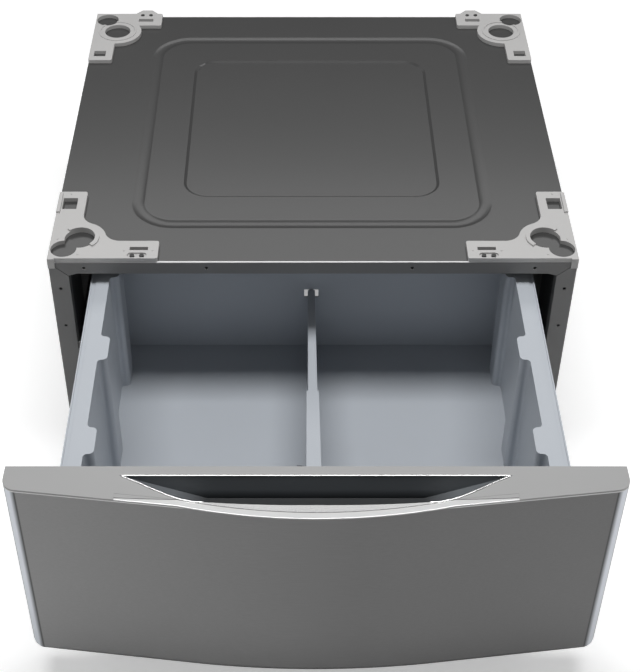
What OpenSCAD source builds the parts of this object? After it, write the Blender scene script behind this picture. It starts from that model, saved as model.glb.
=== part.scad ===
// Laundry pedestal: a sheet-steel cabinet that lifts a washer or dryer, with one wide
// moulded drawer that runs on ball-bearing slides behind a bowed steel front.
// The drawer is drawn pulled out. X is right, Y is towards the back, Z is up, and the
// origin is on the floor at the centre of the four levelling feet.

/* [Cabinet] */
// Width over the side panels
cab_w = 686; // [660:1:720]
// Depth of the cabinet, front face to rear face
cab_d = 632; // [610:1:680]
// Height from the floor to the top plate
cab_h = 345; // [340:1:400]
// Height of the cabinet's lower edge above the floor
base_gap = 22; // [21:1:30]
// Thickness of the cabinet's steel sheet
sheet_t = 1; // [0.8:0.1:1.5]
// Height of the header below the top plate's surface
header_h = 19.5; // [18:0.5:24]
// Width of the stile at each side of the opening
stile_w = 25; // [24:0.5:32]
// How far the stile's edge is turned back into the cabinet
stile_return = 16; // [12:1:16]
// Width of the flanges that stiffen the sheets
flange_w = 20; // [14:1:22]
// Height of the rails across the bottom, front and rear
base_rail_h = 38; // [30:1:44]

/* [Top plate] */
// Width of the pressed groove's outer outline
groove_w = 491; // [450:1:500]
// Depth of the pressed groove's outer outline
groove_l = 496; // [450:1:500]
// Width of the groove itself
groove_band = 19; // [12:0.5:22]
// How far the groove is pressed down
groove_drop = 3; // [1.5:0.5:5]
// Corner radius of the groove's outline
groove_r = 60; // [40:1:80]
// Width of the shallow panel inside the groove
pan_w = 354; // [300:1:380]
// Length of the shallow panel, front to back
pan_l = 355; // [300:1:380]
// How far the shallow panel is pressed down
pan_drop = 2; // [1:0.5:4]
// Width of the slope around the shallow panel
pan_slope = 4; // [2:0.5:8]
// Corner radius of the shallow panel
pan_r = 35; // [20:1:60]

/* [Corner brackets] */
// Height of the plastic brackets above the top plate
bracket_h = 6; // [5:0.5:10]
// Length of a front bracket's arm along the front edge
front_arm_l = 142.5; // [130:1:160]
// Length of a front bracket's leg along the side edge
front_leg_l = 145; // [142:1:160]
// Length of a rear bracket's arm along the back edge
rear_arm_l = 106; // [102:1:120]
// Length of a rear bracket's leg along the side edge
rear_leg_l = 143.5; // [134:0.5:150]
// Radius of the inner wells, for a machine whose feet stand closer together
big_well_r = 20; // [18.5:0.5:20.5]
// Radius of the outer wells, for a machine whose feet stand further apart
small_well_r = 17; // [15:0.5:17.5]

/* [Drawer] */
// How far the drawer is pulled out from its closed place
open_out = 354; // [330:1:370]
// Gap between the closed drawer front and the cabinet
front_gap = 4; // [4:0.5:6]
// Thickness of the tub's moulded wall
wall_t = 2.5; // [2:0.1:3.5]
// Inside length of the tub, front wall to back wall
tub_l = 442; // [420:1:460]
// Height of the tub's floor above the bottom rail it passes over
floor_rise = 51; // [44:1:70]
// Drop from the cabinet's top to the tub's rim
rim_drop = 36; // [34:1:44]
// Width of the flat rim outside the tub's wall
rim_out = 21.5; // [18:0.5:23]
// Room between the tub's wall and the slide, for the steel carrier
carrier_w = 36.3; // [34:0.5:40]
// Length of a pilaster along the tub's side
pilaster_l = 43; // [30:1:50]
// How far a pilaster stands into the tub
pilaster_d = 12; // [12:0.5:16]
// Radius of a pilaster's upright edges
pilaster_r = 6.5; // [4:0.5:7]
// Pitch of the pilasters along the side
pilaster_pitch = 159; // [140:1:165]
// Height of the divider above the tub's floor
divider_h = 105; // [80:1:140]

/* [Drawer front] */
// Height of the drawer front's lower edge above the floor
panel_z = 49; // [40:1:62]
// Thickness of the drawer front at its middle
panel_mid_t = 67; // [60:0.5:72]
// Radius of the bow across the middle of the front
bow_r = 1180; // [1000:10:1300]
// Half width of the bow; past it the front runs straight to its ends
bow_half = 147; // [130:1:170]
// Radius of the front's upright end edges
panel_edge_r = 16; // [15.5:0.5:18]
// Radius of the front's lower edge
panel_low_r = 15; // [8:0.5:15]
// Height of the top cap that holds the finger scoop
cap_h = 34; // [33:0.5:40]
// Depth of the finger scoop
scoop_depth = 29; // [24:0.5:30]
// How far the grip's front edge dips at the middle
grip_dip = 10; // [6:0.5:12]

/* [Slides] */
// Length of the outer and inner slide rails
rail_l = 450; // [440:1:460]
// Length of the middle slide rail
mid_rail_l = 430; // [420:1:440]
// Height of the outer rail
slide_h = 45; // [45:0.5:47]
// Thickness of a whole slide
slide_t = 12.7; // [12.7:0.1:14]
// Radius of the balls
ball_r = 2; // [1.8:0.1:2.2]
// Number of balls in a row
balls_per_row = 7; // [5:1:8]
// Drop from the cabinet's top to the slides' centre line
slide_drop = 165; // [150:1:175]

/* [Feet] */
// Radius of a foot's pad
foot_r = 19; // [16:0.5:22]
// Height of a foot's pad
foot_pad_h = 9; // [8:0.5:10]
// Radius of a foot's threaded stem
stem_r = 5; // [4:0.5:5]
// Length of a foot's stem above the pad
stem_l = 44; // [36:1:46]

/* [Hidden] */
$fn = 96;

// Finishes
steel_grey = [0.40, 0.41, 0.42];
dark_grey = [0.22, 0.23, 0.24];
zinc = [0.66, 0.67, 0.68];
plastic_grey = [0.70, 0.70, 0.68];
tub_grey = [0.66, 0.69, 0.73];
cap_grey = [0.62, 0.63, 0.64];
rubber_black = [0.08, 0.08, 0.08];

// One overrun for every cut, and the small gaps that keep pieces apart
overrun = 2;
seam = 0.5;
hole_gap = 0.2;
seat_gap = 0.3;

// Planes of the cabinet
side_x = cab_w / 2;
front_y = -cab_d / 2;
back_y = cab_d / 2;
under_top = cab_h - sheet_t;
stile_x = side_x - stile_w;
header_z = cab_h - header_h;

// Feet and the plates that carry them
foot_inset_x = 35;
foot_inset_y = 40;
foot_x = side_x - foot_inset_x;
foot_y = back_y - foot_inset_y;
foot_plate_t = 2;
foot_plate_reach = 38;
plate_z = base_gap + sheet_t;
plate_top = plate_z + foot_plate_t;
foot_collar_h = 3;
foot_collar_r = 9;
foot_edge = 2;
lock_nut_r = 9.8;
lock_nut_h = 6;

// Header, mitre and the holes in the front face
mitre_foot_drop = 3;
mitre_foot_w = 2;
mitre_slope_w = 10;
header_hem = 12;
front_rail_d = 41;
face_hole_r = 2.2;
stile_hole_drops = [45, 109.5];
header_hole_shares = [-0.866, -0.402, 0.376, 0.84];
header_hole_drop = 10.5;

// Rear panel's pressed field
rear_field_inset = 60;
rear_field_r = 20;
rear_field_drop = 4;

// Rail posts behind the stiles and at the rear
post_t = 1.2;
post_d = 68;
rear_post_d = 45;
rear_post_back = 4;

// Slide section: outer, middle and inner rails nest in each other, with balls between
gauge = 1.2;
race_gap = 0.3;
race = 2 * ball_r + 2 * race_gap;
slide_x = stile_x - slide_t;
slide_z = cab_h - slide_drop;
outer_lip = 1.2;
outer_open = 1.5;
mid_h = slide_h - 2 * gauge - 2 * race;
inner_h = mid_h - 2 * gauge - 2 * race;
cage_t = 0.5;
strip_t = 1;
cage_gap = 0.3;
mid_open = 2.4;
mid_web_n = slide_t - 2 * gauge - cage_t - 2 * cage_gap;
inner_flange_n = mid_web_n - gauge - cage_t - 4 * cage_gap;
outer_ball_reach = 6;
inner_ball_reach = 4.2;
ball_pitch = 20;
cage_l = (balls_per_row - 1) * ball_pitch + 4 * ball_r;
rail_set_back = 5;
outer_rail_y = front_y + rail_set_back;
mid_rail_set_back = 6;
mid_rail_closed_y = outer_rail_y + mid_rail_set_back;
cage_set_back = 150;
outer_cage_closed_y = outer_rail_y + cage_set_back;
inner_cage_closed_y = mid_rail_closed_y + cage_set_back;

// The drawer's parts stand forward of their closed places by these shares of its travel
mid_share = 0.5;
outer_cage_share = 0.25;
inner_cage_share = 0.75;

// Planes of the drawer: panel_y is the back of the drawer front as drawn
panel_y = front_y - front_gap - open_out;
tub_front = 14;
tub_back = tub_front + tub_l;
tub_half = slide_x - carrier_w - wall_t;
rim_z = cab_h - rim_drop;
floor_z = base_gap + base_rail_h + floor_rise;
tub_depth = rim_z - floor_z;
rim_t = 2.5;
rim_lip = 1.8;
rim_groove = 5;
rim_groove_drop = 1.5;
rim_skirt_h = 14;
rim_corner_r = 12;
tub_corner_r = 6;
pilaster_first = 74;
pilaster_count = 3;
pilaster_root_r = 5;

// Divider
divider_front_half = 10.5;
divider_shoulder_half = 8.4;
divider_neck_half = 6.2;
divider_back_half = 5;
divider_shoulder_l = 239;
divider_tab_w = 6;
divider_tab_drop = 4;
divider_tab_l = 5;
divider_slot_w = 20;
divider_slot_h = 14;
locator_x = -17;
locator_back = 215;
locator_w = 7;
locator_l = 6;

// Carrier that joins the tub to the slide
carrier_t = 1.2;
carrier_h = 44;
carrier_l = 440;
carrier_screw_shares = [0.16, 0.5, 0.84];
screw_r = 2;
screw_head_r = 4;
screw_head_h = 1.8;

// Drawer front
bow_steps = 12;
end_steps = 8;
low_steps = 6;
bow_y = bow_r - panel_mid_t;
wing_turn = asin(bow_half / bow_r);
edge_x = side_x - panel_edge_r;
edge_y = bow_y + (panel_edge_r - bow_r + edge_x * sin(wing_turn)) / cos(wing_turn);
wing_l = (edge_x - (bow_r - panel_edge_r) * sin(wing_turn)) / cos(wing_turn);
skin_t = 1;
skin_return = 12;
lip_t = 2.5;
frame_t = 2.5;
frame_rib_t = 2;
frame_rib_shares = [-0.66, -0.33, 0, 0.33, 0.66];
cap_wall = 2.5;
cap_z = cab_h - cap_h;
dip_half = 150;
dip_r = (dip_half * dip_half + grip_dip * grip_dip) / (2 * grip_dip);
dip_back = 20;
trim_w = 9;
trim_half = 219;
trim_t = 1.5;
ledge = 13.5;
scoop_front = 47;
scoop_half = 216;
scoop_flat = 118;
scoop_steps = 8;
scoop_undercut = 2;
scoop_floor_half = 120;
scoop_floor_back = 21;
boss_r = 8;
boss_in = 66;
boss_x = tub_half - boss_in;
boss_high = 60;
boss_low = 40;
bumper_r = 6;
bumper_gap = 0.4;
bumper_xs_in = 13;
bumper_low = 30;
bumper_high = 46;

// Front bracket outline, measured in from the side edge (u) and back from the front (v)
front_arm_w = 36.5;
front_leg_w = 37.5;
well_u = 38;
small_well_u = 19;
front_well_v = 42;
front_small_v = 20;
bulge_r = 34;
bulge_fillet_r = 22;
fillet_bite = 0.05;
collar_t = 5.5;
collar_h = 2.5;
arm_slot_u = 117;
arm_slot_v = 20.5;
arm_slot_w = 24;
arm_slot_l = 6.5;
bracket_screw_v = 7;
bracket_screw_us = [109, 121.5];
bracket_pocket_w = 25;
bracket_pocket_l = 10;
bracket_pocket_drop = 2.5;
leg_slot_u = 16.2;
leg_slot_v = 118;
leg_slot_w = 19.4;
leg_slot_l = 24.5;
leg_rib_w = 5;
leg_rib_l = 43;
leg_rib_h = 3;
pin_r = 1.4;
pin_h = 0.8;
front_pins = [[98.2, 16], [135.2, 16], [9, 40.6], [38.7, 8.2], [15.6, 140]];
hook_w = 8.8;
hook_h = 9.5;
hook_t = 2;

// Rear bracket outline, measured in from the side edge (u) and forward from the back (v)
rear_arm_w = 37.5;
rear_leg_w = 36.5;
rear_well_v = 56;
rear_small_v = 20.5;
rear_bulge_r = 37.5;
ring_t = 3;
ring_out = 27;
ring_h = 1.2;
rear_slot_u = 80.3;
rear_slot_v = 21;
rear_slot_w = 23.3;
rear_slot_l = 8.5;
rear_leg_slot_u = 16.5;
rear_leg_slot_v = 124;
rear_leg_slot_w = 18;
rear_leg_slot_l = 15.5;
tail_u = 80.6;
tail_w = 35.5;
tail_top_w = 16;
tail_l = 11;
tail_screw_us = [74, 87.2];
tail_screw_v = 5.7;

// Release levers in the inner rails
lever_l = 40;
lever_t = 2.8;
lever_h = 7;
lever_pin_r = 1.5;
lever_pin_over = 0.8;
lever_pin_gap = 0.3;
lever_back = 300;
lever_reach = 1.9;
lever_hook = 5;
lever_hook_h = 1.2;

// A block between two corners, given as ranges along x, y and z
module box(x, y, z)
    translate([x[0], y[0], z[0]])
        cube([x[1] - x[0], y[1] - y[0], z[1] - z[0]]);

module both_sides() {
    children();
    mirror([1, 0, 0]) children();
}

// A rounded rectangle about the origin, built from true arcs
module rounded_plan(w, l, r)
    union() {
        square([w - 2 * r, l], center = true);
        square([w, l - 2 * r], center = true);
        for (sx = [-1, 1])
            for (sy = [-1, 1])
                translate([sx * (w / 2 - r), sy * (l / 2 - r)]) circle(r = r);
    }

// Stands a profile drawn in x and z upright, thick towards the front from plane y
module upright(y, t)
    translate([0, y, 0]) rotate([90, 0, 0]) linear_extrude(t) children();

// A round pin or hole along X, from x0 to x1
module along_x(x0, x1, r, y, z)
    translate([x0, y, z]) rotate([0, 90, 0]) cylinder(r = r, h = x1 - x0);

module along_y(y0, y1, r, x, z)
    translate([x, y0, z]) rotate([-90, 0, 0]) cylinder(r = r, h = y1 - y0);

// The header's face with its mitred corners, grown by a gap where it cuts the stiles
module header_profile(gap) {
    foot_z = header_z - mitre_foot_drop;
    foot_out = stile_x + seam;
    half = [
        [0, cab_h],
        [side_x + gap, cab_h],
        [side_x + gap, cab_h - sheet_t - gap],
        [foot_out + gap, foot_z - gap],
        [foot_out - mitre_foot_w - gap, foot_z - gap],
        [foot_out - mitre_foot_w - mitre_slope_w, header_z],
        [0, header_z]
    ];
    both_sides() polygon(half);
}

// Side panel: one sheet with its stile, the stile's turned edge and three flanges
module right_side_panel() color(steel_grey) {
    inner_x = side_x - sheet_t;
    difference() {
        union() {
            box([inner_x, side_x], [front_y, back_y - sheet_t], [base_gap, under_top]);
            box([stile_x, inner_x], [front_y, front_y + sheet_t], [base_gap, under_top]);
            box([stile_x, stile_x + sheet_t], [front_y, front_y + stile_return],
                [plate_top, header_z - mitre_foot_drop]);
            box([side_x - flange_w, inner_x], [front_y + stile_return, back_y - sheet_t],
                [under_top - sheet_t, under_top]);
            box([side_x - flange_w, inner_x], [front_y, back_y - sheet_t],
                [base_gap, plate_z]);
            box([side_x - flange_w, inner_x], [back_y - 2 * sheet_t, back_y - sheet_t],
                [base_gap, under_top]);
        }
        upright(front_y + sheet_t, sheet_t + overrun) header_profile(seam);
        for (drop = stile_hole_drops)
            along_y(front_y - overrun, front_y + sheet_t + overrun, face_hole_r,
                    side_x - stile_w / 2, cab_h - drop);
        rear_screw_holes();
    }
}

module left_side_panel() mirror([1, 0, 0]) right_side_panel();

// The screws that hold the rear panel to the side panels' rear flanges
rear_screw_in = 12;
rear_screw_shares = [0.15, 0.5, 0.85];
module rear_screw_places()
    for (share = rear_screw_shares)
        translate([side_x - rear_screw_in, back_y, base_gap + share * (under_top - base_gap)])
            rotate([90, 0, 0]) children();

module rear_screw_holes()
    rear_screw_places()
        translate([0, 0, -overrun]) cylinder(r = screw_r + hole_gap, h = 2 * overrun + sheet_t);

module panel_screws() color(zinc)
    both_sides() rear_screw_places() {
        translate([0, 0, -screw_head_h]) cylinder(r = screw_head_r, h = screw_head_h);
        cylinder(r = screw_r, h = 4 * sheet_t);
    }

// Runs a profile round a rounded rectangle: its x points outwards and its y upwards
module round_sweep(w, l, r)
    for (turn = [0, 180])
        rotate(turn) {
            translate([w / 2, l / 2 - r, 0]) rotate([90, 0, 0])
                linear_extrude(l - 2 * r) children();
            translate([r - w / 2, l / 2, 0]) rotate([90, 0, 90])
                linear_extrude(w - 2 * r) children();
            translate([w / 2 - r, l / 2 - r, 0])
                rotate_extrude(angle = 90) translate([r, 0]) children();
            translate([r - w / 2, l / 2 - r, 0]) rotate(90)
                rotate_extrude(angle = 90) translate([r, 0]) children();
        }

// Top plate: a pressed sheet whose front edge is folded down into the header
bead_r = (groove_band * groove_band / 4 + groove_drop * groove_drop) / (2 * groove_drop);
module bead_sweep(grow)
    round_sweep(groove_w - groove_band, groove_l - groove_band, groove_r - groove_band / 2)
        intersection() {
            translate([0, cab_h + bead_r - groove_drop]) circle(r = bead_r + grow);
            translate([-groove_band, cab_h - groove_band]) square([2 * groove_band, groove_band]);
        }

// The slope laps over the plate and over the pan's floor, so that all three are one sheet
module pan_slope_sweep()
    round_sweep(pan_w, pan_l, pan_r)
        polygon([
            [sheet_t, cab_h],
            [sheet_t, under_top],
            [0, under_top],
            [-pan_slope, under_top - pan_drop],
            [-pan_slope - sheet_t, under_top - pan_drop],
            [-pan_slope - sheet_t, cab_h - pan_drop],
            [-pan_slope, cab_h - pan_drop],
            [0, cab_h]
        ]);

press_y = 3;
module top_plate() color(dark_grey) {
    difference() {
        union() {
            difference() {
                box([-side_x, side_x], [front_y, back_y], [under_top, cab_h]);
                translate([0, press_y, under_top - overrun])
                    linear_extrude(sheet_t + 2 * overrun) rounded_plan(pan_w, pan_l, pan_r);
            }
            translate([0, press_y, 0]) {
                bead_sweep(sheet_t);
                pan_slope_sweep();
                translate([0, 0, under_top - pan_drop]) linear_extrude(sheet_t)
                    rounded_plan(pan_w - 2 * pan_slope, pan_l - 2 * pan_slope, pan_r - pan_slope);
            }
        }
        translate([0, press_y, 0]) bead_sweep(0);
    }
    difference() {
        upright(front_y + sheet_t, sheet_t) header_profile(0);
        for (share = header_hole_shares)
            along_y(front_y - overrun, front_y + sheet_t + overrun, face_hole_r,
                    share * side_x, cab_h - header_hole_drop);
    }
    box([-stile_x + mitre_slope_w, stile_x - mitre_slope_w],
        [front_y + sheet_t, front_y + header_hem], [header_z, header_z + sheet_t]);
}

// Rear panel with a shallow pressed field
module rear_panel() color(steel_grey) {
    field_w = cab_w - 2 * rear_field_inset;
    field_h = under_top - base_gap - 2 * rear_field_inset;
    mid_z = (under_top + base_gap) / 2;
    difference() {
        union() {
            box([-side_x, side_x], [back_y - sheet_t, back_y], [base_gap, under_top]);
            translate([0, 0, mid_z]) upright(back_y, rear_field_drop + sheet_t)
                rounded_plan(field_w, field_h, rear_field_r);
        }
        translate([0, 0, mid_z]) upright(back_y + overrun, rear_field_drop + overrun)
            rounded_plan(field_w - 2 * sheet_t, field_h - 2 * sheet_t, rear_field_r - sheet_t);
        both_sides() rear_screw_holes();
    }
}

// Stiffening rail behind the header, seated on the header's hem and under the top plate
module front_rail() color(dark_grey) {
    back = front_y + front_rail_d;
    hem_top = header_z + sheet_t;
    box([-stile_x + mitre_slope_w, stile_x - mitre_slope_w],
        [front_y + sheet_t, back - sheet_t], [hem_top, hem_top + sheet_t]);
    box([-stile_x, stile_x], [back - sheet_t, back], [hem_top, under_top]);
    box([-stile_x, stile_x], [back, back + header_hem], [under_top - sheet_t, under_top]);
}

// Channel across the bottom of the opening, between the stiles
module front_base_rail() color(steel_grey) {
    back = front_y + foot_inset_y - lock_nut_r - 2 * sheet_t;
    top = base_gap + base_rail_h;
    box([-stile_x, stile_x], [front_y, front_y + sheet_t], [base_gap, top]);
    box([-stile_x, stile_x], [front_y + sheet_t, back], [base_gap, plate_z]);
    box([-stile_x, stile_x], [front_y + sheet_t, back], [top - sheet_t, top]);
}

// Angle across the bottom at the back, in front of the side panels' rear flanges
module rear_base_rail() color(dark_grey) {
    web_y = back_y - 3 * sheet_t;
    top = base_gap + base_rail_h;
    inner_x = side_x - sheet_t;
    box([-inner_x, inner_x], [web_y, web_y + sheet_t], [plate_z, top]);
    box([-inner_x, inner_x], [web_y - flange_w, web_y], [top - sheet_t, top]);
}

// Corner plates that the levelling feet screw into
weld_nut_r = 9;
weld_nut_h = 7;
module foot_places()
    for (sx = [-1, 1])
        for (sy = [-1, 1])
            translate([sx * foot_x, sy * foot_y, 0]) children();

module foot_plates() color(zinc) {
    plate_in = foot_x - foot_plate_reach;
    plate_l = foot_inset_y + foot_plate_reach;
    difference() {
        union() {
            both_sides() {
                box([plate_in, side_x - sheet_t], [front_y + sheet_t, front_y + plate_l],
                    [plate_z, plate_top]);
                box([plate_in, side_x - sheet_t], [back_y - plate_l, back_y - 3 * sheet_t],
                    [plate_z, plate_top]);
            }
            foot_places() translate([0, 0, plate_top]) cylinder(r = weld_nut_r, h = weld_nut_h);
        }
        foot_places() translate([0, 0, plate_z - overrun])
            cylinder(r = stem_r + hole_gap, h = foot_plate_t + weld_nut_h + 2 * overrun);
    }
}

module foot_lock_nuts() color(zinc)
    foot_places() translate([0, 0, plate_z - lock_nut_h])
        difference() {
            cylinder(r = lock_nut_r, h = lock_nut_h, $fn = 6);
            translate([0, 0, -overrun])
                cylinder(r = stem_r + hole_gap, h = lock_nut_h + 2 * overrun);
        }

// Levelling foot: a turned pad with a collar and a threaded stem
module foot(sx, sy) color(rubber_black)
    translate([sx * foot_x, sy * foot_y, 0]) rotate_extrude()
        polygon([
            [0, 0],
            [foot_r, 0],
            [foot_r, foot_pad_h - 2 * foot_edge],
            [foot_r - foot_edge, foot_pad_h - foot_edge],
            [foot_collar_r, foot_pad_h],
            [foot_collar_r, foot_pad_h + foot_collar_h],
            [stem_r, foot_pad_h + foot_collar_h],
            [stem_r, foot_pad_h + stem_l - foot_edge],
            [stem_r - foot_edge, foot_pad_h + stem_l],
            [0, foot_pad_h + stem_l]
        ]);

module front_left_foot() foot(-1, -1);
module front_right_foot() foot(1, -1);
module rear_left_foot() foot(-1, 1);
module rear_right_foot() foot(1, 1);

// Rail posts: upright channels, open towards the side panel, that carry the outer rails
module post(y0, y1, holes) color(dark_grey)
    difference() {
        box([stile_x, side_x - sheet_t], [y0, y1], [plate_top, under_top - sheet_t]);
        box([stile_x + post_t, side_x], [y0 + post_t, y1 - post_t],
            [plate_top - overrun, under_top]);
        for (y = holes)
            along_x(stile_x - overrun, stile_x + post_t + overrun, rivet_r + hole_gap, y, slide_z);
    }

rivet_r = 2.5;
rivet_head_r = 4.5;
rivet_head_h = 1.5;
front_post_y = front_y + stile_return;
rear_post_y = outer_rail_y + rail_l - rear_post_back - rear_post_d;
front_rivets = [front_post_y + post_d * 0.3, front_post_y + post_d * 0.75];
rear_rivets = [rear_post_y + rear_post_d / 2];

module right_front_post() post(front_post_y, front_post_y + post_d, front_rivets);
module left_front_post() mirror([1, 0, 0]) right_front_post();
module right_rear_post() post(rear_post_y, rear_post_y + rear_post_d, rear_rivets);
module left_rear_post() mirror([1, 0, 0]) right_rear_post();

// Puts a slide section, drawn in n (outwards) and z, at the slide and runs it back from y
module slide_run(y, l)
    translate([slide_x, y + l, slide_z]) rotate([90, 0, 0]) linear_extrude(l) children();

// Outer rail: a C channel that opens towards the drawer, with a lip along each flange
module outer_section() {
    half = slide_h / 2;
    c_section(slide_t, slide_t - gauge, outer_open, gauge, half);
    for (s = [-1, 1])
        translate([outer_open, s * (half - (gauge + outer_lip) / 2) - (gauge + outer_lip) / 2])
            square([gauge, gauge + outer_lip]);
}

module right_outer_rail() color(zinc)
    difference() {
        slide_run(outer_rail_y, rail_l) outer_section();
        for (y = concat(front_rivets, rear_rivets))
            along_x(stile_x - gauge - overrun, stile_x + overrun, rivet_r + hole_gap, y, slide_z);
    }
module left_outer_rail() mirror([1, 0, 0]) right_outer_rail();

// A C section: its web runs from back to face, and its flanges reach out to open
module c_section(back, face, open, flange, half)
    polygon([
        [back, -half],
        [back, half],
        [open, half],
        [open, half - flange],
        [face, half - flange],
        [face, flange - half],
        [open, flange - half],
        [open, -half]
    ]);

// Middle rail: a smaller C channel with a race on both faces of its flanges
module mid_section()
    c_section(mid_web_n, mid_web_n - gauge, mid_open, gauge, mid_h / 2);

module right_mid_rail() color(zinc)
    slide_run(mid_rail_closed_y - open_out * mid_share, mid_rail_l) mid_section();
module left_mid_rail() mirror([1, 0, 0]) right_mid_rail();

// Inner rail: the smallest channel, opening outwards, riveted to the drawer's carrier
module inner_section()
    c_section(0, gauge, inner_flange_n, gauge, inner_h / 2);

carrier_rivets = [for (share = carrier_screw_shares) panel_y + tub_front + share * carrier_l];

module right_inner_rail() color(zinc)
    difference() {
        union() {
            slide_run(outer_rail_y - open_out, rail_l) inner_section();
            along_x(slide_x, slide_x + lever_reach + lever_t + lever_pin_over, lever_pin_r,
                    lever_y, slide_z);
        }
        for (y = carrier_rivets)
            along_x(slide_x - overrun, slide_x + gauge + overrun, rivet_r + hole_gap, y, slide_z);
    }
module left_inner_rail() mirror([1, 0, 0]) right_inner_rail();

// Ball cages: a thin channel with a strip along each race, drilled for the balls
module cage(y, web_n, strip_n, ball_reach, ball_z) {
    half = ball_z + strip_t / 2;
    difference() {
        slide_run(y, cage_l) c_section(web_n + cage_t, web_n, strip_n, strip_t, half);
        ball_places(y, ball_reach, 0) translate([0, 0, -ball_z - overrun])
            cylinder(r = ball_r + race_gap, h = 2 * ball_z + 2 * overrun);
    }
}

module ball_places(y, ball_reach, ball_z)
    for (i = [0 : balls_per_row - 1])
        for (s = ball_z == 0 ? [0] : [-1, 1])
            translate([slide_x + ball_reach, y + 2 * ball_r + i * ball_pitch, slide_z + s * ball_z])
                children();

outer_ball_z = (slide_h / 2 - gauge + mid_h / 2) / 2;
inner_ball_z = (mid_h / 2 - gauge + inner_h / 2) / 2;
outer_cage_y = outer_cage_closed_y - open_out * outer_cage_share;
inner_cage_y = inner_cage_closed_y - open_out * inner_cage_share;

module right_outer_cage() color(plastic_grey)
    cage(outer_cage_y, mid_web_n + cage_gap, outer_open + gauge + cage_gap, outer_ball_reach, outer_ball_z);
module left_outer_cage() mirror([1, 0, 0]) right_outer_cage();

module right_inner_cage() color(plastic_grey)
    cage(inner_cage_y, inner_flange_n + 2 * cage_gap, gauge + cage_gap, inner_ball_reach, inner_ball_z);
module left_inner_cage() mirror([1, 0, 0]) right_inner_cage();

module right_outer_balls() color(zinc)
    ball_places(outer_cage_y, outer_ball_reach, outer_ball_z) sphere(r = ball_r);
module left_outer_balls() mirror([1, 0, 0]) right_outer_balls();

module right_inner_balls() color(zinc)
    ball_places(inner_cage_y, inner_ball_reach, inner_ball_z) sphere(r = ball_r);
module left_inner_balls() mirror([1, 0, 0]) right_inner_balls();

// Release lever: a flat moulded lever that turns on a pin in the inner rail
lever_y = outer_rail_y - open_out + lever_back;
module right_release_lever() color(rubber_black)
    difference() {
        union() {
            box([slide_x + lever_reach, slide_x + lever_reach + lever_t],
                [lever_y - lever_l, lever_y + lever_hook],
                [slide_z - lever_h / 2, slide_z + lever_h / 2]);
            box([slide_x + lever_reach, slide_x + lever_reach + lever_t],
                [lever_y - lever_l, lever_y - lever_l + lever_hook],
                [slide_z, slide_z + lever_h / 2 + lever_hook_h]);
        }
        along_x(slide_x, slide_x + slide_t, lever_pin_r + lever_pin_gap, lever_y, slide_z);
    }
module left_release_lever() mirror([1, 0, 0]) right_release_lever();

// Rivets that hold the outer rails to the posts, flush in the rails
module slide_rivets() color(zinc)
    both_sides() {
        for (y = concat(front_rivets, rear_rivets)) {
            along_x(stile_x - gauge, stile_x + post_t, rivet_r, y, slide_z);
            along_x(stile_x + post_t, stile_x + post_t + rivet_head_h, rivet_head_r, y, slide_z);
        }
    }

// Carrier: a steel channel between the tub's side and the inner rail
module right_carrier() color(zinc)
    difference() {
        union() {
            box([carrier_in, carrier_in + carrier_t], [tub_front_y, carrier_back_y], carrier_zs);
            box([slide_x - carrier_t, slide_x], [panel_y, carrier_back_y], carrier_zs);
            box([carrier_in, slide_x], [tub_front_y, carrier_back_y],
                [carrier_zs[0], carrier_zs[0] + carrier_t]);
            box([carrier_in, slide_x], [panel_y, panel_y + carrier_t], carrier_zs);
        }
        for (y = carrier_rivets)
            along_x(slide_x - carrier_t - overrun, slide_x + overrun, rivet_r + hole_gap, y, slide_z);
        for (y = carrier_screw_ys)
            along_x(carrier_in - overrun, carrier_in + carrier_t + overrun, screw_r + hole_gap, y, slide_z);
    }
module left_carrier() mirror([1, 0, 0]) right_carrier();

carrier_in = tub_half + wall_t;
tub_front_y = panel_y + tub_front - wall_t;
carrier_back_y = panel_y + carrier_l;
carrier_zs = [slide_z - carrier_h / 2, slide_z + carrier_h / 2];
carrier_screw_ys = [
    for (i = [0 : pilaster_count - 2]) panel_y + pilaster_first + (i + 0.5) * pilaster_pitch
];

module carrier_screws() color(zinc)
    both_sides() {
        for (y = carrier_screw_ys) {
            along_x(carrier_in - wall_t, carrier_in + carrier_t, screw_r, y, slide_z);
            along_x(carrier_in + carrier_t, carrier_in + carrier_t + screw_head_h,
                    screw_head_r, y, slide_z);
        }
        for (y = carrier_rivets) {
            along_x(slide_x - carrier_t, slide_x + gauge, rivet_r, y, slide_z);
            along_x(slide_x - carrier_t - rivet_head_h, slide_x - carrier_t, rivet_head_r, y, slide_z);
        }
    }

// Plan of one pilaster: a rounded rib with hollow fillets where it leaves the wall
module pilaster_plan(grow) {
    half = pilaster_l / 2 - grow;
    r = pilaster_r - grow;
    root = pilaster_root_r + grow;
    translate([-pilaster_d, r - half]) square([pilaster_d + overrun, 2 * (half - r)]);
    translate([r - pilaster_d, -half]) square([pilaster_d - r + overrun, 2 * half]);
    for (s = [-1, 1]) {
        translate([r - pilaster_d, s * (half - r)]) circle(r = r);
        translate([0, s * half]) scale([1, s]) difference() {
            translate([-root, 0]) square([root + overrun, root]);
            translate([-root, root]) circle(r = root);
        }
    }
}

module pilasters(grow)
    for (i = [0 : pilaster_count - 1])
        translate([tub_half + grow, pilaster_first + i * pilaster_pitch]) pilaster_plan(grow);

// The tub's plan outline, grown outwards from its inner face
module tub_plan(grow)
    difference() {
        translate([0, tub_front + tub_l / 2])
            rounded_plan(2 * (tub_half + grow), tub_l + 2 * grow, tub_corner_r + grow);
        both_sides() pilasters(grow);
    }

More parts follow.
